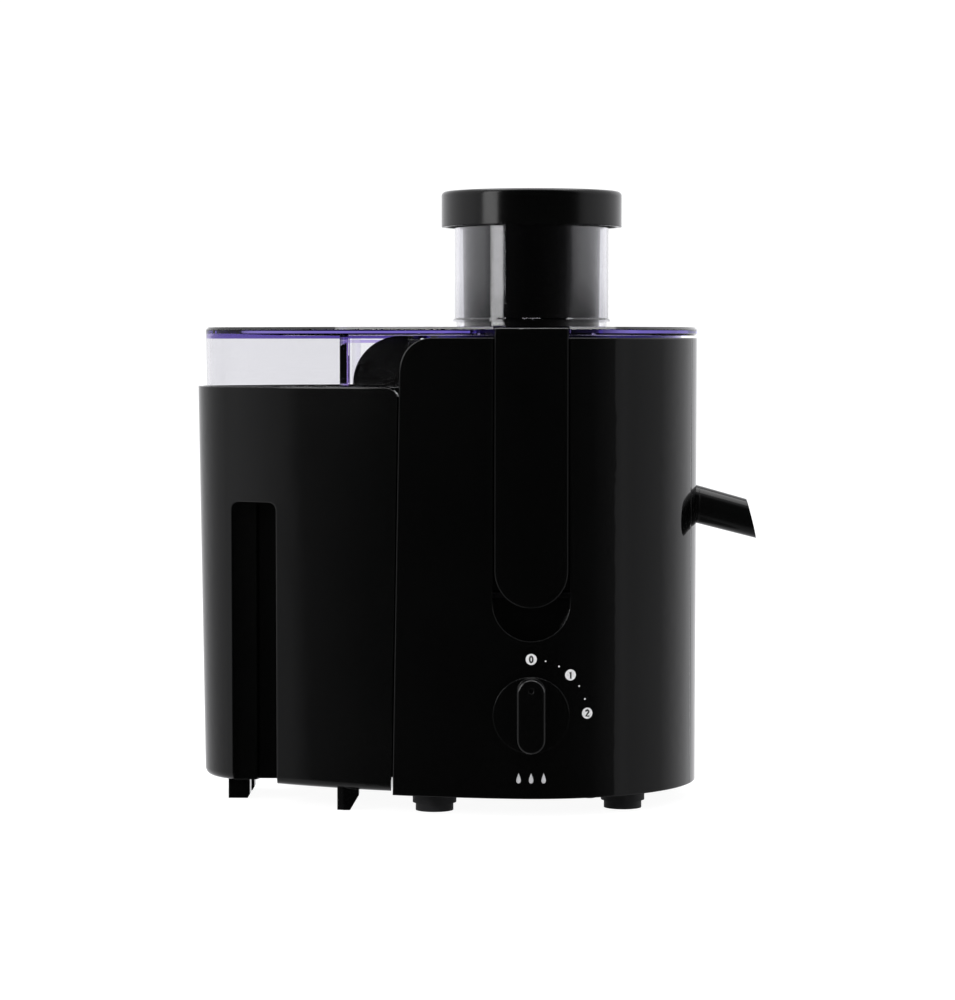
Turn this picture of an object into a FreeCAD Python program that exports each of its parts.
import FreeCAD, Part
import math
import os
import Sketcher

from FreeCAD import Placement, Rotation, Vector

# Centrifugal juicer with a wide feed chute and a pulp container beside the motor housing.
# +Z is up and the table is z = 0. The front faces -Y and the pulp container is on the -X side.
# Every sub-part is drawn about the motor's axis, then placed by axis_x and axis_y, so that the
# origin ends up at the middle of the whole machine's footprint.

DIMS = {
    # where the motor's axis stands
    "axis_x": 28.1,
    "axis_y": 5.3,
    # plan outline: a round drum about the motor, a round nose, and two long flank arcs
    "drum_radius": 85.5,
    "nose_radius": 38.0,
    "nose_reach": 134.9,
    "flank_radius": 300.0,
    "drum_draft": 0.5,
    "nose_draft": 3.5,
    # motor housing
    "housing_bottom": 9.1,
    "housing_top": 237.1,
    "housing_wall": 2.5,
    "housing_side_top": 65.1,
    "housing_side_bottom": 69.3,
    "housing_shoulder": 15.5,
    "housing_seam": 25.0,
    "seam_gap": 0.3,
    "saddle_height": 212.4,
    "saddle_half": 53.0,
    "rail_width": 3.2,
    "rail_play": 0.35,
    "rail_reach": 0.6,
    "rail_lift": 6.0,
    "rib_width": 1.6,
    # pulp container
    "bin_bottom": 10.7,
    "bin_top": 212.4,
    "bin_wall": 2.2,
    "bin_side_top": 66.1,
    "bin_side_bottom": 70.2,
    "bin_corner": 7.0,
    "grip_top": 154.0,
    "grip_left": 152.6,
    "grip_right": 129.0,
    "grip_step": 139.6,
    "grip_floor": 26.5,
    "grip_step_depth": 4.5,
    "leg_width": 11.0,
    "leg_depth": 9.0,
    # lid
    "lid_bottom": 239.3,
    "rim_bottom": 238.3,
    "rim_width": 3.2,
    "lid_top": 242.6,
    "lid_wall": 2.2,
    "lid_nose_inset": 4.3,
    "hood_bottom": 212.8,
    "hood_step": 91.4,
    "hood_step_wall": 4.1,
    "cheek_half": 52.2,
    "cheek_end": 62.6,
    "skirt_radius": 77.5,
    "skirt_bottom": 236.9,
    "ring_radius": 73.6,
    "ring_bottom": 231.0,
    "chute_outer": 39.8,
    "chute_inner": 37.4,
    "chute_neck": 38.9,
    "chute_base": 245.5,
    "chute_top": 299.4,
    "chute_mouth": 191.5,
    # pusher
    "pusher_top_radius": 35.7,
    "pusher_low_radius": 34.5,
    "pusher_wall": 2.4,
    "pusher_bottom": 196.0,
    "cap_radius": 46.5,
    "cap_bottom": 294.2,
    "cap_top": 312.4,
    "cap_round": 2.2,
    # latches, one at the front and one at the rear
    "latch_width": 36.6,
    "latch_bottom": 103.6,
    "latch_top": 242.0,
    "latch_inner": 81.6,
    "latch_outer": 85.9,
    "pin_radius": 1.5,
    "pin_clearance": 0.06,
    "pin_height": 110.0,
    "pin_depth": 80.9,
    "barrel_radius": 3.0,
    "barrel_width": 22.0,
    "recess_width": 38.4,
    "recess_bottom": 87.3,
    "recess_floor": 81.0,
    "pocket_top": 128.0,
    "pocket_floor": 73.6,
    "hook_bottom": 240.0,
    "hook_tip": 79.4,
    "catch_edge": 81.2,
    "catch_top": 239.2,
    "catch_bottom": 236.6,
    # juice collector
    "bowl_radius": 78.4,
    "bowl_wall": 2.4,
    "bowl_rim": 236.2,
    "tray_bottom": 213.8,
    "tub_radius": 60.4,
    "tub_bottom": 156.0,
    "sleeve_radius": 15.0,
    "sleeve_top": 181.0,
    "spill_half": 48.0,
    "spill_end": 89.8,
    "spill_top": 238.2,
    "spill_round": 24.0,
    # spout and its stub on the collector
    "spout_root_x": 86.3,
    "spout_root_z": 151.0,
    "spout_slope": 15.0,
    "spout_radius": 9.55,
    "spout_bore": 7.3,
    "spout_flange": 10.6,
    "stub_radius": 7.1,
    "stub_bore": 5.4,
    # filter basket and grater
    "basket_low_radius": 43.5,
    "basket_rim_radius": 54.5,
    "basket_floor": 184.0,
    "basket_rim": 229.0,
    "mesh_wall": 0.8,
    "grater_radius": 41.0,
    # control knob
    "knob_height": 51.3,
    "knob_radius": 18.9,
    "knob_face": 4.6,
    "knob_reach": 14.0,
    "bar_width": 13.9,
    "bar_round": 1.5,
    "spindle_radius": 3.0,
    # motor
    "shaft_radius": 4.0,
    "stator_radius": 43.0,
    "stator_bore": 24.6,
    "stator_bottom": 72.0,
    "stack_height": 42.0,
    "rotor_radius": 24.0,
    "fan_radius": 43.0,
    # mains cord opening
    "gland_height": 24.0,
    # lid interlock
    "rod_distance": 80.3,
    "rod_angle": 58.0,
    "rod_radius": 1.5,
    "rod_bottom": 149.2,
    "collar_radius": 2.0,
    "collar_bottom": 160.2,
    "collar_height": 1.8,
    "spring_radius": 1.9,
    "spring_wire": 0.3,
    "spring_height": 4.3,
    "spring_turn": 1.1,
    # deck, base and feet
    "deck_bottom": 152.2,
    "deck_wall": 2.6,
    "base_wall": 3.0,
    "foot_radius": 11.0,
    "foot_step": 9.5,
    "foot_step_height": 4.0,
}

PARTS = []

doc = FreeCAD.newDocument("juicer")
sheet = doc.addObject("Spreadsheet::Sheet", "Dims")
for row, (name, size) in enumerate(DIMS.items(), start=1):
    sheet.set(f"A{row}", name)
    sheet.set(f"B{row}", str(size))
    sheet.setAlias(f"B{row}", name)
doc.recompute()


# ---------------------------------------------------------------- sizes and references

def cell(name):
    """Read one driving dimension from the sheet."""
    return float(getattr(sheet, name))


def number(text):
    """Value of a size: a number, a cell name, or a sum such as 'lid_top - lid_wall*2'."""
    total = 0.0
    sign = 1.0
    for word in str(text).split():
        if word in ("+", "-"):
            sign = 1.0 if word == "+" else -1.0
            continue
        product = 1.0
        for factor in word.split("*"):
            product *= cell(factor) if factor in DIMS else float(factor)
        total += sign * product
        sign = 1.0
    return total


def expression(text):
    """The same size as an expression on the sheet's cells."""
    words = []
    for word in str(text).split():
        factors = [f"Dims.{f}" if f in DIMS else f for f in word.split("*")]
        words.append(" * ".join(factors))
    return " ".join(words)


def bind(item, **sizes):
    """Bind an object's properties to the sheet."""
    for name, text in sizes.items():
        item.setExpression(name, expression(text))
    return item


def publish(item, label):
    """Name a finished sub-part and move it from the motor's axis to its place."""
    item.Label = label
    item.setExpression("Placement.Base.x", "Dims.axis_x")
    item.setExpression("Placement.Base.y", "Dims.axis_y")
    PARTS.append(item)
    return item


def shaped(label, shape):
    """A sub-part whose shape is made with Part's own functions."""
    item = doc.addObject("Part::Feature", label)
    item.Shape = shape
    to_axis = Placement(Vector(cell("axis_x"), cell("axis_y"), 0), Rotation())
    item.Placement = to_axis.multiply(shape.Placement)
    item.Label = label
    PARTS.append(item)
    return item


# ---------------------------------------------------------------- PartDesign helpers

def new_body(label):
    """An empty body; it is published once its features are in."""
    return doc.addObject("PartDesign::Body", label)


def sketch_on(body, name, role, offset=None):
    """A sketch on one of the body's own origin planes, raised by offset."""
    sketch = body.newObject("Sketcher::SketchObject", name)
    plane = next(f for f in body.Origin.OriginFeatures if f.Role == role)
    sketch.AttachmentSupport = [(plane, "")]
    sketch.MapMode = "FlatFace"
    if offset is not None:
        sketch.setExpression("AttachmentOffset.Base.z", expression(offset))
    return sketch


def fix_point(sketch, geometry, point, x, y):
    """Hold one point of a sketch at a place given by the sheet."""
    for kind, text in (("DistanceX", x), ("DistanceY", y)):
        index = sketch.addConstraint(Sketcher.Constraint(kind, geometry, point, number(text)))
        sketch.setExpression(f"Constraints[{index}]", expression(text))


def add_polygon(sketch, corners):
    """A closed polygon whose corners are bound to the sheet."""
    places = [Vector(number(x), number(y), 0) for x, y in corners]
    first = sketch.GeometryCount
    count = len(corners)
    for i in range(count):
        sketch.addGeometry(Part.LineSegment(places[i], places[(i + 1) % count]), False)
    for i in range(count):
        follower = first + (i + 1) % count
        sketch.addConstraint(Sketcher.Constraint("Coincident", first + i, 2, follower, 1))
    for i, (x, y) in enumerate(corners):
        fix_point(sketch, first + i, 1, x, y)


def add_circle(sketch, radius, x="0", y="0"):
    """A circle whose centre and radius are bound to the sheet."""
    centre = Vector(number(x), number(y), 0)
    circle = sketch.addGeometry(Part.Circle(centre, Vector(0, 0, 1), number(radius)), False)
    fix_point(sketch, circle, 3, x, y)
    index = sketch.addConstraint(Sketcher.Constraint("Radius", circle, number(radius)))
    sketch.setExpression(f"Constraints[{index}]", expression(radius))


def add_pad(body, sketch, length, reverse=False):
    """Pad a sketch by a length from the sheet."""
    pad = body.newObject("PartDesign::Pad", sketch.Name + "_pad")
    pad.Profile = sketch
    pad.Reversed = reverse
    pad.setExpression("Length", expression(length))
    return pad


def add_polar(body, feature, count, base_axis):
    """Repeat a feature about the body's own axis."""
    polar = body.newObject("PartDesign::PolarPattern", feature.Name + "_ring")
    polar.Originals = [feature]
    axis = next(f for f in body.Origin.OriginFeatures if f.Role == base_axis)
    polar.Axis = (axis, [""])
    polar.Angle = 360.0
    polar.Occurrences = count
    body.Tip = polar
    return polar


def add_fillet(body, feature, radius, wanted):
    """Round the edges of a feature that the wanted test picks."""
    doc.recompute()
    names = [f"Edge{i + 1}" for i, edge in enumerate(feature.Shape.Edges) if wanted(edge)]
    fillet = body.newObject("PartDesign::Fillet", feature.Name + "_round")
    fillet.Base = (feature, names)
    fillet.setExpression("Radius", expression(radius))
    return fillet


def is_ring(radius, z):
    """Test for a full circular edge of one radius at one height."""
    def test(edge):
        curve = edge.Curve
        if not isinstance(curve, Part.Circle):
            return False
        return abs(curve.Radius - number(radius)) < 0.01 and abs(curve.Center.z - number(z)) < 0.01
    return test


def turned(label, corners, publish_it=True):
    """A body turned about the motor's axis from a profile of (radius, height) corners."""
    body = new_body(label)
    sketch = sketch_on(body, label + "_profile", "XZ_Plane")
    add_polygon(sketch, corners)
    turn = body.newObject("PartDesign::Revolution", label + "_turn")
    turn.Profile = sketch
    turn.ReferenceAxis = (sketch, ["V_Axis"])
    turn.Angle = 360.0
    if publish_it:
        publish(body, label)
    return body


def tube_corners(outer, inner, low, high):
    """Profile of a plain ring."""
    return [(inner, low), (outer, low), (outer, high), (inner, high)]


# ---------------------------------------------------------------- plan outline and shells

UP = Vector(0, 0, 1)
HIGH = 400.0


def outline(z, inset=0.0, nose_cut=0.0):
    """Plan outline of the whole machine at height z: drum, nose and two flank arcs."""
    fall = (cell("housing_top") - z) / cell("housing_top")
    motor = cell("drum_radius") - cell("drum_draft") * fall
    nose = cell("nose_radius") - cell("nose_draft") * fall - nose_cut
    flank = cell("flank_radius")
    reach = cell("nose_reach")
    to_drum = flank - motor
    to_nose = flank - nose
    middle_x = (to_nose ** 2 - to_drum ** 2 - reach ** 2) / (2 * reach)
    middle_y = math.sqrt(to_drum ** 2 - middle_x ** 2)
    centre = Vector(middle_x, middle_y, z)
    drum_way = (Vector(0, 0, z) - centre).normalize()
    nose_way = (Vector(-reach, 0, z) - centre).normalize()
    drum_end = Vector(0, 0, z) + drum_way * (motor - inset)
    nose_end = Vector(-reach, 0, z) + nose_way * (nose - inset)
    flank_mid = centre + (drum_way + nose_way).normalize() * (flank - inset)

    def mirrored(point):
        return Vector(point.x, -point.y, point.z)

    arcs = [
        Part.Arc(drum_end, Vector(motor - inset, 0, z), mirrored(drum_end)),
        Part.Arc(mirrored(drum_end), mirrored(flank_mid), mirrored(nose_end)),
        Part.Arc(mirrored(nose_end), Vector(-reach - nose + inset, 0, z), nose_end),
        Part.Arc(nose_end, flank_mid, drum_end),
    ]
    return Part.Wire([arc.toShape() for arc in arcs])


def block(low, high, inset=0.0):
    """Solid of the plan outline between two heights, with its draft."""
    return Part.makeLoft([outline(low, inset), outline(high, inset)], True, True)


def box(x0, x1, y0, y1, z0, z1):
    """Box between two corners."""
    return Part.makeBox(x1 - x0, y1 - y0, z1 - z0, Vector(x0, y0, z0))


def drum(radius, low, high, x=0.0, y=0.0):
    """Upright cylinder between two heights."""
    return Part.makeCylinder(radius, high - low, Vector(x, y, low))


def ring(outer, inner, low, high, x=0.0, y=0.0):
    """Upright ring between two heights."""
    return drum(outer, low, high, x, y).cut(drum(inner, low - 1, high + 1, x, y))


def lathe(corners):
    """Solid turned about the motor's axis from (radius, height) corners."""
    points = [Vector(r, 0, z) for r, z in corners]
    face = Part.Face(Part.makePolygon(points + points[:1]))
    return face.revolve(Vector(0, 0, 0), UP, 360)


def across(corners, y0, y1):
    """Prism along Y of an (x, z) polygon."""
    points = [Vector(x, y0, z) for x, z in corners]
    face = Part.Face(Part.makePolygon(points + points[:1]))
    return face.extrude(Vector(0, y1 - y0, 0))


def quarter_round(corner_x, top, radius, far_x, low, spread=0.0, y0=-200.0, y1=200.0):
    """Prism along Y from corner_x to far_x, with its top corner at corner_x rounded."""
    way = 1.0 if far_x > corner_x else -1.0
    bulge = radius * (1 - math.sqrt(0.5))
    start = Vector(corner_x, y0, top - radius)
    middle = Vector(corner_x + way * bulge, y0, top - bulge)
    end = Vector(corner_x + way * radius, y0, top)
    wide_x = corner_x - way * spread
    corners = [end, Vector(far_x, y0, top), Vector(far_x, y0, low), Vector(wide_x, y0, low)]
    if spread > 0:
        corners.append(Vector(wide_x, y0, top - radius))
    corners.append(start)
    edges = [Part.makeLine(a, b) for a, b in zip(corners, corners[1:])]
    edges.append(Part.Arc(start, middle, end).toShape())
    return Part.Face(Part.Wire(edges)).extrude(Vector(0, y1 - y0, 0))


def turned_about_axis(shape, angle):
    """The same shape turned about the motor's axis."""
    return shape.rotated(Vector(0, 0, 0), UP, angle)


def side_limit(top_name, bottom_name, shift=0.0):
    """Everything right of the sloping plane between container and housing."""
    top_z = cell("housing_top")
    slope = (cell(bottom_name) - cell(top_name)) / top_z
    low_x = -cell(bottom_name) - slope * 20 + shift
    high_x = -cell(top_name) + slope * (HIGH - top_z) + shift
    return across([(low_x, -20), (200, -20), (200, HIGH), (high_x, HIGH)], -200, 200)


# ---------------------------------------------------------------- motor housing

def shoulder_prism():
    """Side profile of the housing: its top left edge is rounded."""
    left = -cell("housing_side_top") - 0.05
    return quarter_round(left, cell("housing_top"), cell("housing_shoulder"), 200.0, -20.0, 35.0)


def recess_tool(grow=0.0):
    """Space of the front latch recess: shallow behind the strap, deep behind its lower end."""
    half = cell("recess_width") / 2 + grow
    round_z = cell("recess_bottom") + cell("recess_width") / 2
    split = cell("pocket_top")
    round_end = Part.makeCylinder(half, 100, Vector(0, -100, round_z), Vector(0, 1, 0))
    low = box(-half, half, -100, 0, round_z, split + grow).fuse(round_end)
    low = low.common(box(-50, 50, -100, -cell("pocket_floor") + grow, 0, split + grow))
    high = box(-half, half, -100, 0, round_z, HIGH)
    high = high.cut(drum(cell("recess_floor") - grow, 0, HIGH))
    return low.fuse(high)


def catch_notch():
    """Gap in the housing's rim that lets the lid's catch through."""
    return box(-17.2, 17.2, -83.0, -76.0, cell("catch_bottom") - 0.8, HIGH)


def pin_hole(radius):
    """Hole of a latch pin through both sides of the recess."""
    length = cell("recess_width") + 1.6
    start = Vector(-length / 2, -cell("pin_depth"), cell("pin_height"))
    return Part.makeCylinder(radius, length, start, Vector(1, 0, 0))


def spout_axis():
    """Root point and direction of the spout."""
    slope = math.radians(cell("spout_slope"))
    root = Vector(cell("spout_root_x"), 0, cell("spout_root_z"))
    return root, Vector(math.cos(slope), 0, -math.sin(slope))


def along_spout(radius, start, end):
    """Cylinder on the spout's axis between two distances from its root."""
    root, way = spout_axis()
    return Part.makeCylinder(radius, end - start, root + way * start, way)


def housing_shell():
    """Hollow housing with its recesses, before it is split into two covers."""
    bottom = cell("housing_bottom")
    top = cell("housing_top")
    wall = cell("housing_wall")
    outer = block(bottom, top).common(side_limit("housing_side_top", "housing_side_bottom"))
    outer = outer.common(shoulder_prism())
    inner = block(bottom - 5, top + 5, wall)
    inner = inner.common(side_limit("housing_side_top", "housing_side_bottom", wall))
    for angle in (0, 180):
        outer = outer.cut(turned_about_axis(recess_tool(), angle))
        inner = inner.cut(turned_about_axis(recess_tool(2.2), angle))
    shell = outer.cut(inner)
    half = cell("saddle_half")
    shell = shell.cut(box(-75, -45, -half, half, cell("saddle_height"), HIGH))
    for rail in gap_rails():
        shell = shell.fuse(rail)
    for angle in (0, 180):
        shell = shell.cut(turned_about_axis(catch_notch(), angle))
        shell = shell.cut(turned_about_axis(pin_hole(cell("pin_radius") + 0.02), angle))
    return shell.cut(along_spout(cell("spout_radius") + 0.5, -20, 10))


def gap_rails():
    """Two upright rails on the housing's side that guide the container and close the gap."""
    play = cell("rail_play")
    reach = cell("rail_reach")
    container = quarter_round(-cell("bin_side_top") + play, cell("bin_top") + play,
                              cell("bin_corner") + play, -250.0, -20.0)
    container = container.cut(side_limit("bin_side_top", "bin_side_bottom", play))
    span = block(cell("housing_bottom") + cell("rail_lift"), cell("saddle_height"))
    span = span.cut(container).cut(side_limit("housing_side_top", "housing_side_bottom", 0.6))
    wide = cell("rail_width") / 2
    far = -cell("bin_side_bottom") - reach
    return [span.common(box(far, -50, y - wide, y + wide, 0, HIGH)) for y in (-RAIL_Y, RAIL_Y)]


def gap_ribs():
    """Two upright ribs on the container's side, one just outside each rail of the housing."""
    play = cell("rail_play")
    wide = cell("rib_width")
    span = block(cell("bin_bottom") + 6.0, cell("bin_top") - cell("bin_corner"), 1.0)
    span = span.common(side_limit("bin_side_top", "bin_side_bottom", -0.8))
    span = span.cut(side_limit("housing_side_top", "housing_side_bottom", -play))
    near = RAIL_Y + cell("rail_width") / 2 + 0.5
    return [span.common(box(-80, -50, y, y + wide, 0, HIGH)) for y in (-near - wide, near)]


# distance of the rails between housing and container from the middle
RAIL_Y = 58.0


def cover_half(shell, front):
    """The part of the shell on one side of the seam."""
    seam = -cell("housing_seam")
    gap = cell("seam_gap")
    if front:
        return shell.common(box(-200, 200, -200, seam - gap, -10, HIGH))
    return shell.common(box(-200, 200, seam + gap, 200, -10, HIGH))


def ledges(front):
    """Four screw bosses at the foot of the housing, where the base plate is fastened."""
    bosses = []
    for x, y in SCREW_PLACES:
        if (y < 0) == front:
            post = ring(4.6, 1.4, cell("housing_bottom") + cell("base_wall") + 0.1, 40.0, x, y)
            rib = box(x - 1.2, x + 1.2, y + 3.6, 90, 14.0, 38.0)
            if y < 0:
                rib = box(x - 1.2, x + 1.2, -90, y - 3.6, 14.0, 38.0)
            bosses.append(post.fuse(rib.common(block(9.2, 60, 1.0))))
    return bosses


SCREW_PLACES = [(-29.0, -70.5), (29.0, -70.5), (-29.0, 70.5), (29.0, 70.5)]


def front_housing(shell):
    """Front cover with the knob's hole."""
    cover = cover_half(shell, True)
    for boss in ledges(True):
        cover = cover.fuse(boss)
    hole = Part.makeCylinder(5.2, 40, Vector(0, -100, cell("knob_height")), Vector(0, 1, 0))
    return cover.cut(hole)


def rear_housing(shell):
    """Rear cover with air slots, the mains cord's opening and the interlock's guide."""
    cover = cover_half(shell, False)
    for boss in ledges(False):
        cover = cover.fuse(boss)
    for i in range(9):
        angle = -60 + 5.0 * i
        slot = box(-1.4, 1.4, 60, 100, 28.0, 68.0)
        cover = cover.cut(turned_about_axis(slot, angle))
        cover = cover.cut(turned_about_axis(slot, angle + 80))
    cover = cover.fuse(guide_boss())
    cord_hole = Part.makeCylinder(5.6, 60, Vector(0, 60, cell("gland_height")), Vector(0, 1, 0))
    return cover.cut(cord_hole)


def base_plate():
    """Plate that closes the housing, with intake slots and screw holes."""
    low = cell("housing_bottom")
    high = low + cell("base_wall")
    plate = block(low, high, cell("housing_wall") + 0.25)
    plate = plate.common(side_limit("housing_side_top", "housing_side_bottom", 2.8))
    for x, y in SCREW_PLACES:
        plate = plate.cut(drum(1.8, 0, 20, x, y))
    for x in range(-24, 25, 6):
        plate = plate.cut(box(x - 1.5, x + 1.5, -34, -14, 0, 20))
        plate = plate.cut(box(x - 1.5, x + 1.5, 14, 34, 0, 20))
    for x, y in FOOT_PLACES:
        plate = plate.cut(drum(3.1, 0, 20, x, y))
    for x, y in MOUNT_PLACES:
        plate = plate.fuse(ring(6.0, 1.5, high - 0.5, 17.0, x, y))
    return plate


FOOT_PLACES = [(-48.6, -58.0), (46.3, -47.0), (-48.6, 58.0), (46.3, 47.0)]
FOOT_NAMES = ["foot_front_left", "foot_front_right", "foot_rear_left", "foot_rear_right"]
MOUNT_PLACES = [(-30.0, 0.0), (30.0, 0.0), (0.0, -30.0), (0.0, 30.0)]


def foot(label, x, y):
    """Stepped rubber foot with a stem that plugs into the base plate."""
    profile = [
        ("0", "0"),
        ("foot_step", "0"),
        ("foot_step", "foot_step_height"),
        ("foot_radius", "foot_step_height"),
        ("foot_radius", "housing_bottom - 0.05"),
        ("3", "housing_bottom - 0.05"),
        ("3", "housing_bottom + 4.5"),
        ("0", "housing_bottom + 4.5"),
    ]
    body = turned(label, profile, False)
    body.Label = label
    body.setExpression("Placement.Base.x", f"Dims.axis_x + {x}")
    body.setExpression("Placement.Base.y", f"Dims.axis_y + {y}")
    PARTS.append(body)


def housing_group():
    """Everything that makes the outside of the motor base."""
    shell = housing_shell()
    shaped("front_housing", front_housing(shell))
    shaped("rear_housing", rear_housing(shell))
    shaped("base_plate", base_plate())
    for label, (x, y) in zip(FOOT_NAMES, FOOT_PLACES):
        foot(label, x, y)
    screws = [
        drum(3.0, 8.0, 9.0, x, y).fuse(drum(1.3, 9.0, 24.0, x, y)) for x, y in SCREW_PLACES
    ]
    shaped("base_screws", Part.makeCompound(screws))
    shaped("top_deck", top_deck())


def top_deck():
    """Deck under the juice collector, open for the shaft seal and the collector's sump."""
    low = cell("deck_bottom")
    high = low + cell("deck_wall")
    deck = block(low, high, cell("housing_wall") + 0.3)
    deck = deck.common(side_limit("housing_side_top", "housing_side_bottom", 2.8))
    for angle in (0, 180):
        deck = deck.cut(turned_about_axis(recess_tool(2.5), angle))
    deck = deck.cut(box(38.0, 90.0, -13.5, 13.5, 100, 200))
    deck = deck.cut(drum(13.2, 100, 200))
    rod_x, rod_y = rod_place()
    return deck.cut(drum(2.2, 100, 200, rod_x, rod_y))


# ---------------------------------------------------------------- pulp container

def bin_profile():
    """Side profile of the container: its top right edge is rounded."""
    return quarter_round(-cell("bin_side_top"), cell("bin_top"), cell("bin_corner"), -250.0, -20.0)


def grip_notch(grow=0.0):
    """Hand grip in the container's flank: two flat floors with a step, open at the foot."""
    top = cell("grip_top") + grow
    left = -cell("grip_left") - grow
    right = -cell("grip_right") + grow
    step = -cell("grip_step") - grow
    upper = -cell("grip_floor") + grow
    deep = upper + cell("grip_step_depth")
    corners = [
        (left, upper), (step - 1.0, upper), (step, deep), (right, deep), (right, -80.0), (left, -80.0),
    ]
    points = [Vector(x, y, -5) for x, y in corners]
    face = Part.Face(Part.makePolygon(points + points[:1]))
    notch = face.extrude(Vector(0, 0, top + 5))
    crown = [edge for edge in notch.Edges if is_crown_corner(edge, top)]
    return notch.makeFillet(4.0 + grow, crown)


def is_crown_corner(edge, top):
    """Test for the two short top edges at the grip's left and right sides."""
    ends = [vertex.Point for vertex in edge.Vertexes]
    level = all(abs(point.z - top) < 0.01 for point in ends)
    runs_along_y = abs(ends[0].x - ends[1].x) < 0.01
    return level and runs_along_y and abs(ends[0].y - ends[1].y) > 5


LEG_PLACES = [(-150.6, -14.0, 1.2), (-150.6, 14.0, 1.2), (-92.0, -57.0, 4.5), (-92.0, 57.0, 4.5)]


def container_leg(x, y, slant):
    """Short leg whose lower right corner is cut off by the slant."""
    half = cell("leg_width") / 2
    top = cell("bin_bottom") + 2.0
    profile = [
        (x - half, 0.0), (x + half - slant, 0.0), (x + half, slant * 1.7), (x + half, top), (x - half, top),
    ]
    return across(profile, y - cell("leg_depth") / 2, y + cell("leg_depth") / 2)


def pulp_container():
    """Open bin with hand grips on both flanks and four short legs."""
    low = cell("bin_bottom")
    top = cell("bin_top")
    wall = cell("bin_wall")
    right = side_limit("bin_side_top", "bin_side_bottom")
    inner_right = side_limit("bin_side_top", "bin_side_bottom", -wall)
    foot_round = Part.makeLoft([outline(low, 3.2), outline(low + 1.1, 1.1), outline(low + 3.6)], True)
    outer = block(low + 3.6, top).fuse(foot_round).cut(right).common(bin_profile())
    inner = block(low + wall + 0.2, top + 30, wall).cut(inner_right)
    for flip in (False, True):
        notch = grip_notch()
        inner_notch = grip_notch(wall)
        if flip:
            notch = notch.mirror(Vector(0, 0, 0), Vector(0, 1, 0))
            inner_notch = inner_notch.mirror(Vector(0, 0, 0), Vector(0, 1, 0))
        outer = outer.cut(notch)
        inner = inner.cut(inner_notch)
    shell = outer.cut(inner)
    for rib in gap_ribs():
        shell = shell.fuse(rib)
    for x, y, slant in LEG_PLACES:
        shell = shell.fuse(container_leg(x, y, slant).common(block(-1, 20, 1.0)))
    return shell.removeSplitter()


# ---------------------------------------------------------------- juice collector and spout

def spill_cheek(y0, y1):
    """Side wall of the pulp spillway: a quarter round seen from the front."""
    left = -cell("spill_end")
    return quarter_round(left, cell("spill_top"), cell("spill_round"), -59.0, cell("tray_bottom"),
                         0.0, y0, y1)


def juice_collector():
    """Tub around the filter basket, with a tray, a pulp spillway, a sump and a spout stub."""
    wall = cell("bowl_wall")
    outer = cell("tub_radius")
    low = cell("tub_bottom")
    floor = low + wall
    tray = cell("tray_bottom")
    rim = cell("bowl_rim")
    wide = cell("bowl_radius")
    sleeve = cell("sleeve_radius")
    sleeve_top = cell("sleeve_top")
    tub = lathe([
        (sleeve - wall, low), (outer, low), (outer, tray), (wide, tray), (wide, rim),
        (wide - wall, rim), (wide - wall, tray + wall), (outer - wall, tray + wall),
        (outer - wall, floor), (sleeve, floor), (sleeve, sleeve_top), (sleeve - wall, sleeve_top),
    ])
    half = cell("spill_half")
    tub = tub.cut(box(-100, -40, -half, half, tray + wall, HIGH))
    spill = across([(-88.8, tray), (-58.8, tray), (-58.8, tray + wall), (-83.0, tray + wall)],
                   -half, half)
    tub = tub.fuse(spill)
    for y0 in (-half, half - 2.0):
        tub = tub.fuse(spill_cheek(y0, y0 + 2.0).cut(drum(wide - wall, tray, HIGH)))
    sump = box(42.0, 72.5, -11.0, 11.0, low - 7.0, low + 16.0)
    tub = tub.fuse(sump.cut(ring(outer - wall, sleeve, floor, HIGH)))
    tub = tub.fuse(along_spout(cell("stub_radius"), -16.2, 8.0))
    tub = tub.cut(box(44.0, 70.2, -8.8, 8.8, low - 4.8, low + 13.8))
    tub = tub.cut(along_spout(cell("stub_bore"), -17.0, 9.0))
    for angle in (0, 180):
        tub = tub.cut(turned_about_axis(catch_notch_in_bowl(), angle))
    return tub.removeSplitter()


def catch_notch_in_bowl():
    """Relief in the collector's rim under the lid's catch."""
    return box(-17.0, 17.0, -90.0, -74.0, cell("catch_bottom") - 0.6, HIGH)


def spout():
    """Push-on spout with an oblique mouth and a thin lip against the housing."""
    root, way = spout_axis()
    lift = Vector(-way.z, 0, way.x)
    radius = cell("spout_radius")
    tube = Part.makeCone(radius, radius - 0.5, 36.0, root, way)
    tube = tube.fuse(along_spout(radius, -5.0, 0.5))
    lip = Part.makeCylinder(radius + 0.2, 1.0, Vector(85.8, 0, root.z), Vector(1, 0, 0))
    tube = tube.fuse(lip).cut(along_spout(cell("spout_bore"), -10, 60))
    upper = root + way * 22.4 + lift * 11.0
    lower = root + way * 34.6 - lift * 11.0
    far = [lower + way * 30, upper + way * 40]
    mouth = across([(p.x, p.z) for p in [upper, lower] + far], -20, 20)
    return tube.cut(mouth).removeSplitter()


# ---------------------------------------------------------------- lid, pusher and latches

def hood_region(low, high, shift=0.0, step_shift=0.0):
    """Space of the lid's hood over the container; the shifts make it smaller."""
    step = -cell("hood_step") - step_shift
    half = cell("cheek_half") - shift
    nose = block(low, high, 4.4 + shift).common(box(-200, step, -200, 200, low, high))
    return nose.fuse(box(step - 1.0, -cell("cheek_end") + shift, -half, half, low, high))


def latch_zone(width, inner, outer, low, high):
    """Curved bar centred on the front, used for the latch's hook and the lid's catch."""
    return ring(outer, inner, low, high).common(box(-width / 2, width / 2, -100, 0, low, high))


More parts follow.
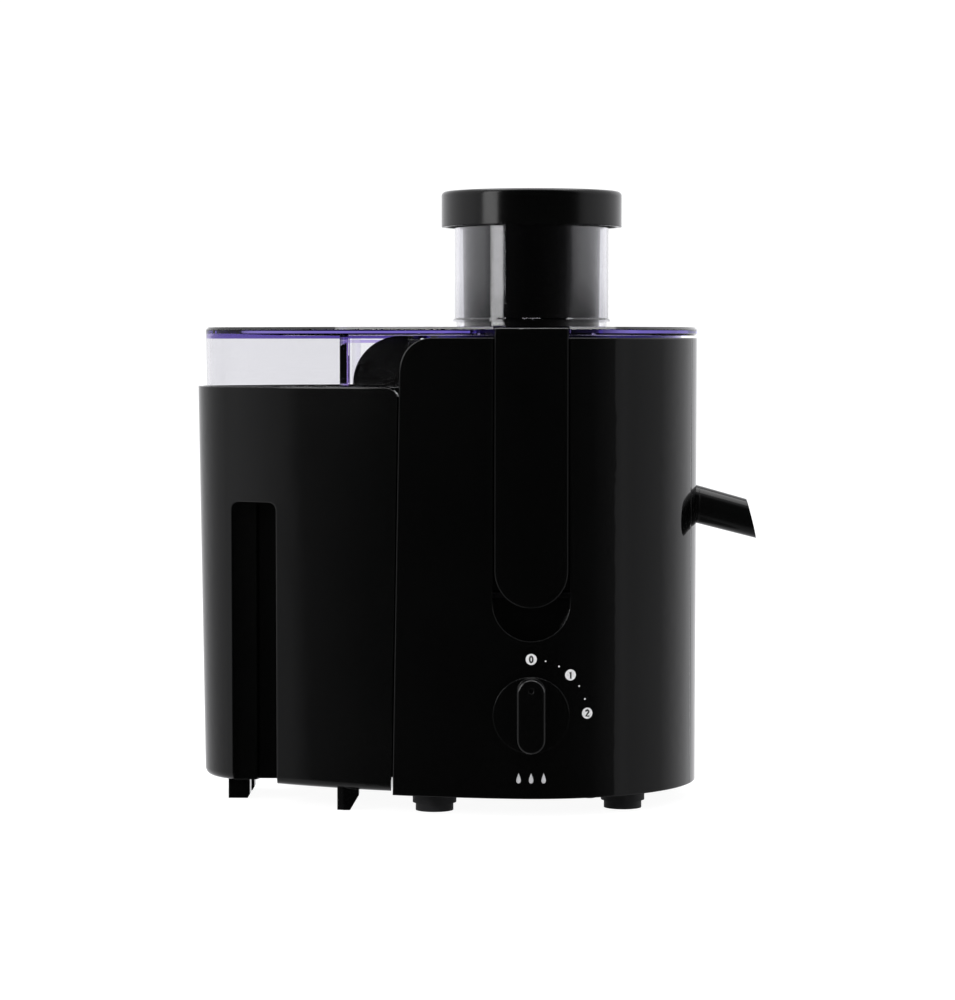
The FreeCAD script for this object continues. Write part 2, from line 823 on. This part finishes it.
def lid():
    """Clear lid: rim plate, feed chute, locating rings and the hood over the container."""
    low = cell("lid_bottom")
    high = cell("lid_top")
    wall = cell("lid_wall")
    cut = cell("lid_nose_inset")
    rim = cell("rim_bottom")
    levels = [(rim, 1.1), (rim + 1.1, 0.0), (high - 1.3, 0.0), (high, 1.3)]
    plate = None
    for (z0, inset0), (z1, inset1) in zip(levels, levels[1:]):
        layer = Part.makeLoft([outline(z0, inset0, cut), outline(z1, inset1, cut)], True, True)
        plate = layer if plate is None else plate.fuse(layer)
    chute = lathe([
        (cell("chute_inner"), cell("chute_mouth")),
        (cell("chute_outer") - 0.4, cell("chute_mouth")),
        (cell("chute_outer") - 0.4, high - 1.0),
        (cell("chute_neck"), high - 1.0),
        (cell("chute_neck"), cell("chute_base")),
        (cell("chute_outer") + 0.8, cell("chute_base")),
        (cell("chute_outer") + 0.8, cell("chute_base") + 1.0),
        (cell("chute_outer"), cell("chute_base") + 1.8),
        (cell("chute_outer"), cell("chute_top") - 0.9),
        (cell("chute_outer") - 0.7, cell("chute_top")),
        (cell("chute_inner") + 0.3, cell("chute_top")),
        (cell("chute_inner"), cell("chute_top") - 0.5),
    ])
    inner = cell("rim_width")
    plate = plate.cut(Part.makeLoft([outline(rim - 1, inner, cut), outline(low, inner, cut)], True, True))
    body = plate.cut(drum(cell("chute_inner"), 200, HIGH)).fuse(chute)
    hood = hood_region(cell("hood_bottom"), low + 0.4)
    hood = hood.cut(hood_region(cell("hood_bottom") - 5, HIGH, wall, cell("hood_step_wall")))
    hood = hood.cut(box(-cell("cheek_end") - 1, 0, -50, 50, 0, HIGH))
    rings = ring(cell("skirt_radius"), cell("skirt_radius") - wall, cell("skirt_bottom"), low + 0.4)
    inner_ring = ring(cell("ring_radius"), cell("ring_radius") - wall, cell("ring_bottom"), low + 0.4)
    rings = rings.fuse(inner_ring).cut(box(-100, -38, -49.9, 49.9, 200, low))
    body = body.fuse(hood).fuse(rings)
    for angle in (0, 180):
        gap = box(-18.9, 18.9, -100, 0, cell("catch_top"), HIGH)
        gap = gap.cut(drum(cell("hook_tip") - 0.6, 0, HIGH))
        strap_gap = box(-18.9, 18.9, -100, 0, rim - 1, HIGH).cut(drum(cell("catch_edge"), 0, HIGH))
        catch = latch_zone(32.0, cell("ring_radius") - 1, cell("catch_edge"),
                           cell("catch_bottom"), cell("catch_top"))
        root = latch_zone(32.0, cell("ring_radius") - 1, cell("hook_tip") - 0.7,
                          cell("catch_bottom"), low + 0.4)
        body = body.cut(turned_about_axis(gap.fuse(strap_gap), angle))
        body = body.fuse(turned_about_axis(catch.fuse(root), angle))
    return body.removeSplitter()


def latch():
    """Curved strap with a hook at its top and a pin barrel near its round lower end."""
    half = cell("latch_width") / 2
    bottom = cell("latch_bottom")
    top = cell("latch_top")
    round_end = Part.makeCylinder(half, 100, Vector(0, -100, bottom + half), Vector(0, 1, 0))
    outline_prism = box(-half, half, -100, 0, bottom + half, top).fuse(round_end)
    strap = ring(cell("latch_outer"), cell("latch_inner"), bottom, top).common(outline_prism)
    rounded = [edge for edge in strap.Edges if is_outer_edge(edge)]
    strap = strap.makeFillet(0.9, rounded)
    hook = latch_zone(31.0, cell("hook_tip"), cell("latch_outer") - 1.5, cell("hook_bottom"), top)
    pin = Vector(0, -cell("pin_depth"), cell("pin_height"))
    width = cell("barrel_width")
    start = pin - Vector(width / 2, 0, 0)
    barrel = Part.makeCylinder(cell("barrel_radius"), width, start, Vector(1, 0, 0))
    strap = strap.fuse(hook).fuse(barrel)
    return strap.cut(pin_hole(cell("pin_radius") + cell("pin_clearance")))


def is_outer_edge(edge):
    """Test for an edge that lies on the strap's outer surface."""
    middle = edge.valueAt((edge.FirstParameter + edge.LastParameter) / 2)
    return abs(math.hypot(middle.x, middle.y) - cell("latch_outer")) < 0.02


def latch_pin(label, side):
    """Hinge pin of one latch, held in both sides of the recess."""
    pin = doc.addObject("Part::Cylinder", label)
    bind(pin, Radius="pin_radius", Height="recess_width + 1.6")
    pin.Label = label
    pin.Placement = Placement(Vector(0, 0, 0), Rotation(Vector(0, 1, 0), 90))
    pin.setExpression("Placement.Base.x", "Dims.axis_x - Dims.recess_width / 2 - 0.8")
    pin.setExpression("Placement.Base.y", f"Dims.axis_y + {side} * Dims.pin_depth")
    pin.setExpression("Placement.Base.z", "Dims.pin_height")
    PARTS.append(pin)


def pusher_group():
    """Hollow pusher and its cap."""
    turned("pusher", [
        ("0", "pusher_bottom"),
        ("pusher_low_radius", "pusher_bottom"),
        ("pusher_top_radius", "cap_bottom + 5.7"),
        ("pusher_top_radius - pusher_wall", "cap_bottom + 5.7"),
        ("pusher_low_radius - pusher_wall", "pusher_bottom + pusher_wall"),
        ("0", "pusher_bottom + pusher_wall"),
    ])
    cap = turned("pusher_cap", [
        ("0", "cap_bottom + 5.8"),
        ("cap_radius - 2.4", "cap_bottom + 5.8"),
        ("cap_radius - 2.4", "cap_bottom"),
        ("cap_radius", "cap_bottom"),
        ("cap_radius", "cap_top"),
        ("0", "cap_top"),
    ], False)
    add_fillet(cap, cap.Tip, "cap_round", is_ring("cap_radius", "cap_top"))
    publish(cap, "pusher_cap")


def feed_group():
    """The parts that the food and the juice meet, apart from the spinning ones."""
    shaped("pulp_container", pulp_container())
    shaped("juice_collector", juice_collector())
    shaped("spout", spout())
    shaped("lid", lid())
    pusher_group()
    strap = latch()
    for name, side in (("front", -1), ("rear", 1)):
        shaped(f"{name}_latch", turned_about_axis(strap, 0 if side < 0 else 180))
        latch_pin(f"{name}_latch_pin", side)


# ---------------------------------------------------------------- spinning parts

def basket_group():
    """Filter basket, its rim and hub, the grater and the coupling under it."""
    turned("filter_basket", [
        ("9", "basket_floor"),
        ("basket_low_radius", "basket_floor"),
        ("basket_rim_radius", "basket_rim - 3"),
        ("basket_rim_radius - mesh_wall", "basket_rim - 3"),
        ("basket_low_radius - mesh_wall", "basket_floor + mesh_wall"),
        ("9", "basket_floor + mesh_wall"),
    ])
    turned("basket_rim", [
        ("basket_rim_radius - 1.6", "basket_rim - 2.9"),
        ("basket_rim_radius + 0.9", "basket_rim - 2.9"),
        ("basket_rim_radius + 0.9", "basket_rim - 8"),
        ("basket_rim_radius + 2.7", "basket_rim - 8"),
        ("basket_rim_radius + 2.7", "basket_rim"),
        ("basket_rim_radius - 1.6", "basket_rim"),
    ])
    turned("basket_hub", [
        ("8.3", "basket_floor - 18"),
        ("11.4", "basket_floor - 18"),
        ("11.4", "basket_floor - 2.2"),
        ("16.6", "basket_floor - 2.2"),
        ("16.6", "basket_floor - 10"),
        ("18.4", "basket_floor - 10"),
        ("18.4", "basket_floor - 2.2"),
        ("basket_low_radius - 2", "basket_floor - 2.2"),
        ("basket_low_radius - 2", "basket_floor - 0.05"),
        ("8.3", "basket_floor - 0.05"),
    ])
    grater()
    turned("drive_coupling", [
        ("shaft_radius + 0.02", "basket_floor - 20"),
        ("8.0", "basket_floor - 20"),
        ("8.0", "basket_floor - 4"),
        ("6.5", "basket_floor - 2.4"),
        ("shaft_radius + 0.02", "basket_floor - 2.4"),
    ])


def grater():
    """Grater disc with three rings of teeth."""
    body = new_body("grater_disc")
    plate_sketch = sketch_on(body, "grater_plate", "XY_Plane", "basket_floor + 1")
    add_circle(plate_sketch, "grater_radius")
    add_pad(body, plate_sketch, "1.2")
    for i, (place, count) in enumerate([("12", 10), ("22", 18), ("32", 26)]):
        tooth = sketch_on(body, f"tooth_{i}", "XY_Plane", "basket_floor + 2.2")
        add_polygon(tooth, [
            (place, "-1.3"), (f"{place} + 2.2", "0"), (place, "1.3"),
        ])
        pad = add_pad(body, tooth, "1.6")
        doc.recompute()
        add_polar(body, pad, count, "Z_Axis")
    publish(body, "grater_disc")


def slotted_core(label, radius, low, height, count, slot_width, slot_depth):
    """Round stack with a shaft bore and evenly spaced slots in its rim."""
    body = new_body(label)
    disc = sketch_on(body, label + "_disc", "XY_Plane", low)
    add_circle(disc, radius)
    add_circle(disc, "shaft_radius + 0.02")
    add_pad(body, disc, height)
    doc.recompute()
    slot = sketch_on(body, label + "_slot", "XY_Plane", low)
    add_polygon(slot, [
        (f"{radius} - {slot_depth}", f"0 - {slot_width}"),
        (f"{radius} + 2", f"0 - {slot_width}"),
        (f"{radius} + 2", slot_width),
        (f"{radius} - {slot_depth}", slot_width),
    ])
    pocket = body.newObject("PartDesign::Pocket", label + "_cut")
    pocket.Profile = slot
    pocket.Reversed = True
    pocket.setExpression("Length", expression(height))
    doc.recompute()
    add_polar(body, pocket, count, "Z_Axis")
    publish(body, label)


def cooling_fan():
    """Radial fan on the shaft above the rotor."""
    body = new_body("cooling_fan")
    disc = sketch_on(body, "fan_disc", "XY_Plane", "137.4")
    add_circle(disc, "fan_radius")
    add_circle(disc, "shaft_radius + 0.02")
    add_pad(body, disc, "1.6")
    hub = sketch_on(body, "fan_hub", "XY_Plane", "127")
    add_circle(hub, "10")
    add_circle(hub, "shaft_radius + 0.02")
    add_pad(body, hub, "11")
    blade = sketch_on(body, "fan_blade", "XY_Plane", "127")
    add_polygon(blade, [
        ("15", "3"), ("fan_radius - 4", "13"), ("fan_radius - 4.5", "14.4"), ("15", "4.6"),
    ])
    pad = add_pad(body, blade, "11")
    doc.recompute()
    add_polar(body, pad, 11, "Z_Axis")
    publish(body, "cooling_fan")


def rotor_group():
    """Shaft, armature, commutator, fan and basket: everything that spins."""
    turned("motor_shaft", [
        ("0", "33"), ("shaft_radius", "33"), ("shaft_radius", "basket_floor - 3"),
        ("0", "basket_floor - 3"),
    ])
    slotted_core("rotor_core", "rotor_radius", "stator_bottom", "stack_height", 12, "1.1", "9")
    slotted_core("commutator", "11.5", "47.5", "11", 16, "0.25", "1.6")
    bore = cell("shaft_radius") + 0.02
    low = cell("stator_bottom") - 0.1
    high = cell("stator_bottom") + cell("stack_height") + 0.1
    lower_end = lathe([(bore, low), (bore, low - 11), (15, low - 11), (21, low - 7), (22, low)])
    upper_end = lathe([(bore, high), (22, high), (21, high + 6), (15, high + 10), (bore, high + 10)])
    shaped("armature_windings", Part.makeCompound([lower_end, upper_end]))
    cooling_fan()
    basket_group()


# ---------------------------------------------------------------- motor frame

BOLT_OFFSET = 32.81
BOLT_PLACES = [(x, y) for x in (-BOLT_OFFSET, BOLT_OFFSET) for y in (-BOLT_OFFSET, BOLT_OFFSET)]


def stator_core():
    """Laminated stack with a bore and two winding windows."""
    parts = []
    for name, radius in (("stator_disc", "stator_radius"), ("stator_hole", "stator_bore")):
        item = doc.addObject("Part::Cylinder", name)
        bind(item, Radius=radius, Height="stack_height")
        item.setExpression("Placement.Base.z", "Dims.stator_bottom")
        parts.append(item)
    window = doc.addObject("Part::Box", "stator_window")
    bind(window, Length="32", Width="72", Height="stack_height")
    window.Placement = Placement(Vector(-16, -36, 0), Rotation())
    window.setExpression("Placement.Base.z", "Dims.stator_bottom")
    bored = doc.addObject("Part::Cut", "stator_bored")
    bored.Base = parts[0]
    bored.Tool = parts[1]
    core = doc.addObject("Part::Cut", "stator_core")
    core.Base = bored
    core.Tool = window
    publish(core, "stator_core")


def field_coils():
    """Two copper coils, each round one pole of the stator."""
    low = cell("stator_bottom")
    high = low + cell("stack_height")
    full = ring(35.0, 26.4, low - 8.5, high + 8.5)
    right = full.common(box(3, 60, -60, 60, 0, 200))
    right = right.cut(box(15.4, 60, -60, 60, low - 0.3, high + 0.3))
    return Part.makeCompound([right, turned_about_axis(right, 180)])


def upper_bracket():
    """Cast plate with the upper bearing's seat and four bolt holes."""
    plate = lathe([
        (11.05, 142.9), (50, 142.9), (50, 145.6), (13.5, 145.6), (13.5, 150.6), (11.05, 150.6),
    ])
    for i in range(8):
        slot = box(18.0, 36.0, -4.0, 4.0, 140, 150)
        plate = plate.cut(turned_about_axis(slot, 45 * i + 22.5))
    for x, y in BOLT_PLACES:
        plate = plate.cut(drum(1.75, 130, 160, x, y))
    return plate


def lower_bracket():
    """Spider with the lower bearing's seat, four posts and two brush pillars."""
    spider = lathe([
        (9.55, 34.0), (9.55, 41.5), (12.5, 41.5), (12.5, 37.0),
        (50, 37.0), (50, 33.2), (6.0, 33.2), (6.0, 34.0),
    ])
    for i in range(4):
        spider = spider.cut(turned_about_axis(box(15, 42, -9.0, 9.0, 30, 45), 90 * i + 45))
    for x, y in BOLT_PLACES:
        spider = spider.fuse(drum(3.1, 36.0, 142.7, x, y)).cut(drum(1.75, 20, 160, x, y))
    for side in (-1, 1):
        pillar = box(21, 26, -3, 3, 36.5, 48.2)
        spider = spider.fuse(turned_about_axis(pillar, 0 if side > 0 else 180))
    return spider


def brush_parts():
    """Brush holders and the carbon brushes in them, one each side of the commutator."""
    holder = box(14.0, 28.0, -4.4, 4.4, 48.4, 57.6).cut(box(13, 29, -3.2, 3.2, 49.8, 56.2))
    brush = box(11.8, 25.0, -3.05, 3.05, 49.95, 56.05).cut(drum(11.75, 40, 60))
    shaped("brush_holders", Part.makeCompound([holder, turned_about_axis(holder, 180)]))
    shaped("carbon_brushes", Part.makeCompound([brush, turned_about_axis(brush, 180)]))


def motor_group():
    """Stator, brackets, bearings, brushes and rubber mounts."""
    stator_core()
    shaped("field_coils", field_coils())
    shaped("motor_bracket_upper", upper_bracket())
    shaped("motor_bracket_lower", lower_bracket())
    turned("bearing_upper", tube_corners("11", "shaft_radius + 0.03", "143.2", "150.2"))
    turned("bearing_lower", tube_corners("9.5", "shaft_radius + 0.03", "34.2", "40.2"))
    turned("shaft_seal", [
        ("shaft_radius + 0.06", "deck_bottom + 0.1"),
        ("13.1", "deck_bottom + 0.1"),
        ("13.1", "deck_bottom + 2.5"),
        ("7", "deck_bottom + 2.5"),
        ("6", "deck_bottom + 8"),
        ("shaft_radius + 0.06", "deck_bottom + 8"),
    ])
    brush_parts()
    bolts = [
        drum(1.65, 31.0, 148.0, x, y).fuse(drum(3.0, 145.7, 148.4, x, y)) for x, y in BOLT_PLACES
    ]
    shaped("motor_bolts", Part.makeCompound(bolts))
    mounts = [ring(6.5, 2.0, 17.1, 33.1, x, y) for x, y in MOUNT_PLACES]
    shaped("rubber_mounts", Part.makeCompound(mounts))


# ---------------------------------------------------------------- controls and electrics

def rod_place():
    """Plan position of the lid interlock's rod."""
    angle = math.radians(cell("rod_angle"))
    return cell("rod_distance") * math.cos(angle), cell("rod_distance") * math.sin(angle)


def interlock_group():
    """Rod that the lid pushes down, its spring and the switch below it."""
    x, y = rod_place()
    rod = drum(cell("rod_radius"), cell("rod_bottom"), cell("lid_bottom") - 0.3, x, y)
    collar = cell("collar_bottom")
    rod = rod.fuse(drum(cell("collar_radius"), collar, collar + cell("collar_height"), x, y))
    shaped("interlock_rod", rod)
    radius = cell("spring_radius")
    wire_circle = Part.makeCircle(cell("spring_wire"), Vector(radius, 0, 0), Vector(0, 1, 0))
    helix = Part.makeHelix(cell("spring_turn"), cell("spring_height"), radius)
    coil = Part.Wire(helix.Edges).makePipeShell([Part.Wire(wire_circle)], True, True)
    coil.translate(Vector(x, y, cell("deck_bottom") + cell("deck_wall") + 0.5))
    shaped("interlock_spring", coil)
    case = box(-3.2, 3.2, -8.5, 8.5, 130.0, 146.4)
    case = case.fuse(box(-1.2, 1.2, -1.2, 1.2, 146.4, 148.9)).cut(drum(1.3, 100, 200, 0, 6.2))
    case.translate(Vector(76.0, 0, 0))
    shaped("lid_switch", turned_about_axis(case, cell("rod_angle")))


def guide_boss():
    """Guide of the interlock's rod on the rear cover's inner wall."""
    x, y = rod_place()
    boss = drum(3.2, 198.0, 207.0, x, y).common(drum(cell("drum_radius") - 1.5, 190, 210))
    return boss.cut(drum(cell("rod_radius") + 0.08, 190, 210, x, y))


def knob():
    """Round speed knob with a waisted grip bar and an indicator dimple."""
    body = new_body("speed_knob")
    disc = sketch_on(body, "knob_disc", "XZ_Plane")
    add_circle(disc, "knob_radius")
    add_pad(body, disc, "knob_face")
    doc.recompute()
    bar = sketch_on(body, "knob_bar", "XZ_Plane")
    half = cell("bar_width") / 2
    reach = cell("knob_radius") - 0.5
    end = reach - half
    corners = [Vector(half, -end, 0), Vector(half, end, 0), Vector(-half, end, 0), Vector(-half, -end, 0)]
    bar.addGeometry(Part.LineSegment(corners[0], corners[1]), False)
    bar.addGeometry(Part.Arc(corners[1], Vector(0, reach, 0), corners[2]), False)
    bar.addGeometry(Part.LineSegment(corners[2], corners[3]), False)
    bar.addGeometry(Part.Arc(corners[3], Vector(0, -reach, 0), corners[0]), False)
    for i in range(4):
        bar.addConstraint(Sketcher.Constraint("Block", i))
    grip = add_pad(body, bar, "knob_reach - 0.9")
    doc.recompute()
    edges = [
        f"Edge{i + 1}" for i, edge in enumerate(grip.Shape.Edges)
        if abs(edge.CenterOfMass.y + number("knob_reach - 0.9")) < 0.01
    ]
    rounded = body.newObject("PartDesign::Fillet", "knob_round")
    rounded.Base = (grip, edges)
    rounded.setExpression("Radius", "Dims.bar_round")
    doc.recompute()
    dimple = sketch_on(body, "knob_dimple", "XZ_Plane", "knob_reach - 2.2")
    add_circle(dimple, "1.35", "0", "12.9")
    mark = body.newObject("PartDesign::Pocket", "knob_mark")
    mark.Profile = dimple
    mark.Reversed = True
    mark.Length = 3.0
    bore_sketch = sketch_on(body, "knob_bore", "XZ_Plane")
    add_circle(bore_sketch, "spindle_radius + 0.02")
    bore = body.newObject("PartDesign::Pocket", "knob_socket")
    bore.Profile = bore_sketch
    bore.Reversed = True
    bore.Length = 3.0
    body.setExpression("Placement.Base.x", "Dims.axis_x")
    body.setExpression("Placement.Base.y", "Dims.axis_y - Dims.drum_radius - 0.4")
    body.setExpression("Placement.Base.z", "Dims.knob_height")
    body.Label = "speed_knob"
    PARTS.append(body)


def control_group():
    """Knob, spindle and rotary switch."""
    knob()
    height = cell("knob_height")
    front = -cell("drum_radius") - 0.4 - 2.9
    way = Vector(0, 1, 0)
    spindle = Part.makeCylinder(cell("spindle_radius"), 24.0, Vector(0, front, height), way)
    shaped("switch_spindle", spindle)
    case = box(-13, 13, -80, -60, height - 13, height + 13)
    case = case.fuse(Part.makeCylinder(6.5, 2.2, Vector(0, -82.2, height), way))
    bore = Part.makeCylinder(cell("spindle_radius") + 0.06, 30, Vector(0, -88, height), way)
    for x in (-8, 0, 8):
        case = case.fuse(box(x - 2.4, x + 2.4, -60.5, -54, height - 0.4, height + 0.4))
    shaped("rotary_switch", case.cut(bore.common(box(-9, 9, -90, -64.0, 0, 100))))


def electrics_group():
    """Cord gland and clamp, capacitor and terminal block."""
    way = Vector(0, 1, 0)
    height = cell("gland_height")
    gland = Part.makeCylinder(5.4, 8.5, Vector(0, 77.5, height), way)
    flange = Part.makeCylinder(8.2, 3.0, Vector(0, 85.4, height), way)
    gland = gland.fuse(flange.makeFillet(1.2, [flange.Edges[0]]))
    gland = gland.cut(Part.makeCylinder(3.7, 40, Vector(0, 70, height), way))
    shaped("cord_gland", gland)
    clamp = box(-9, 9, 64, 72, 12.3, 31).cut(Part.makeCylinder(3.7, 20, Vector(0, 60, height), way))
    clamp = clamp.cut(box(-12, 12, 60, 75, height - 0.25, height + 0.25))
    shaped("cord_clamp", clamp)
    capacitor = box(-46, -22, 36, 48, 12.4, 32)
    shaped("capacitor", capacitor.makeFillet(1.5, capacitor.Edges))
    terminals = box(10, 34, 38, 48, 12.4, 24)
    for x in (14, 22, 30):
        terminals = terminals.cut(drum(1.6, 18, 30, x, 43))
    shaped("terminal_block", terminals)


# ---------------------------------------------------------------- build and write

def check_everything():
    """Stop if any object failed or any sub-part is empty or broken."""
    for item in doc.Objects:
        if "Invalid" in item.State or "Error" in item.State:
            raise RuntimeError(f"{item.Label} failed: {item.State}")
    for item in PARTS:
        if item.Shape.isNull() or not item.Shape.isValid():
            raise RuntimeError(f"{item.Label} has no valid shape")
        if item.Shape.Volume <= 0:
            raise RuntimeError(f"{item.Label} has no volume")


def write_everything():
    """Write one STEP file for each sub-part."""
    os.makedirs("parts", exist_ok=True)
    for item in PARTS:
        item.Shape.exportStep(f"parts/{item.Label}.step")
        bounds = item.Shape.BoundBox
        print(f"{item.Label:22s} solids {len(item.Shape.Solids)}  volume {item.Shape.Volume:10.0f}"
              f"  x {bounds.XMin:7.1f} {bounds.XMax:7.1f}  y {bounds.YMin:7.1f} {bounds.YMax:7.1f}"
              f"  z {bounds.ZMin:6.1f} {bounds.ZMax:6.1f}")


housing_group()
feed_group()
rotor_group()
motor_group()
interlock_group()
control_group()
electrics_group()
doc.recompute()
check_everything()
write_everything()
